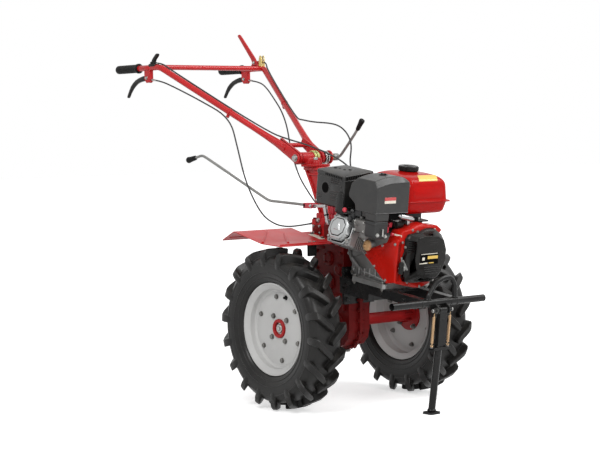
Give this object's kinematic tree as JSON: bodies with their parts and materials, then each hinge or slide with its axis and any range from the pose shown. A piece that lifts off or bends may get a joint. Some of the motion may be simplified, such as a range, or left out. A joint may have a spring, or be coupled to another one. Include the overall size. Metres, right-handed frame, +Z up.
{
  "type": "two-wheel walk-behind tractor",
  "caption": "Two-wheel walk-behind tractor for tillage: petrol engine ahead of a tall gearbox, lugged tyres, adjustable handlebar, folding front stand.",
  "frame": {"origin": "on the ground, under the middle of the part's outer box", "axes": "+X towards the front stand, +Y to the operator's left, +Z up"},
  "size_m": [1.685, 0.77, 1.441],
  "materials": {
    "red_paint": "glossy red enamel",
    "red_casting": "dark red enamel on rough castings",
    "black_paint": "semi-gloss black enamel",
    "wheel_white": "satin off-white enamel",
    "tyre": "matt black rubber with fine mould texture",
    "alloy": "cast aluminium, fine grain",
    "rocker_alloy": "bright die-cast aluminium",
    "dark_alloy": "dark grey painted casting",
    "red_alloy": "glossy red enamel on pressed and cast covers",
    "black_plastic": "grained black plastic",
    "tank_red": "high-gloss red, with the fuel's weight",
    "zinc": "bright zinc-plated steel",
    "spring_copper": "copper-coloured plated springs",
    "latch_brass": "yellow-passivated steel",
    "rubber": "ribbed black rubber"
  },
  "bodies": {
    "chassis": {"air_cleaner": "black_plastic", "bumper_bar": "black_paint", "cable_clutch": "rubber", "cable_release_left": "rubber", "cable_release_right": "rubber", "cable_throttle": "rubber", "clamp_lever": "zinc", "clutch_housing": "dark_alloy", "engine_crankcase": "alloy", "engine_cylinder": "alloy", "exhaust_pipe": "black_paint", "fan_shroud": "red_alloy", "fenders": "red_paint", "frame_rails": "black_paint", "fuel_cap": "black_plastic", "fuel_tank": "tank_red", "gear_lever": "zinc", "gearbox_case": "red_casting", "handlebar_column": "red_casting", "handlebar_turntable": "red_casting", "intake_duct": "black_plastic", "muffler": "black_paint", "pivot_shaft": "zinc", "rear_hitch": "red_casting", "recoil_guard": "black_paint", "recoil_handle": "black_plastic", "recoil_starter": "black_plastic", "rocker_cover": "rocker_alloy", "shift_cover": "red_casting", "stand_bracket": "black_paint", "tank_brackets": "black_paint"},
    "wheel_left": {"tyre_left": "tyre", "wheel_disc_left": "wheel_white", "wheel_hub_left": "red_paint"},
    "wheel_right": {"tyre_right": "tyre", "wheel_disc_right": "wheel_white", "wheel_hub_right": "red_paint"},
    "stand": {"stand_leg": "black_paint", "stand_springs": "spring_copper"},
    "handlebar": {"handlebar_tube_left": "red_paint", "handlebar_tube_right": "red_paint", "handlebar_yoke": "red_casting", "handlebar_crossbar": "red_paint", "grips": "rubber", "lever_brackets": "red_paint", "release_levers": "black_plastic", "clutch_lever": "red_paint", "clutch_latch": "latch_brass", "throttle_lever": "black_paint"}
  },
  "joints": [
    {"name": "wheel_left_spin", "type": "hinge", "parent": "chassis", "child": "wheel_left", "pos_m": [0.3055, 0.311, 0.298], "axis": [0, 1, 0], "continuous": true},
    {"name": "wheel_right_spin", "type": "hinge", "parent": "chassis", "child": "wheel_right", "pos_m": [0.3055, -0.311, 0.298], "axis": [0, 1, 0], "continuous": true},
    {"name": "stand_fold", "type": "hinge", "parent": "chassis", "child": "stand", "pos_m": [0.8295, 0, 0.378], "axis": [0, 1, 0], "range_deg": [-100, 0]},
    {"name": "handlebar_tilt", "type": "hinge", "parent": "chassis", "child": "handlebar", "pos_m": [0.0925, 0, 0.917], "axis": [0, 1, 0], "range_deg": [-18, 12], "deforming": ["cable_release_right", "cable_release_left", "cable_throttle", "cable_clutch"]}
  ]
}
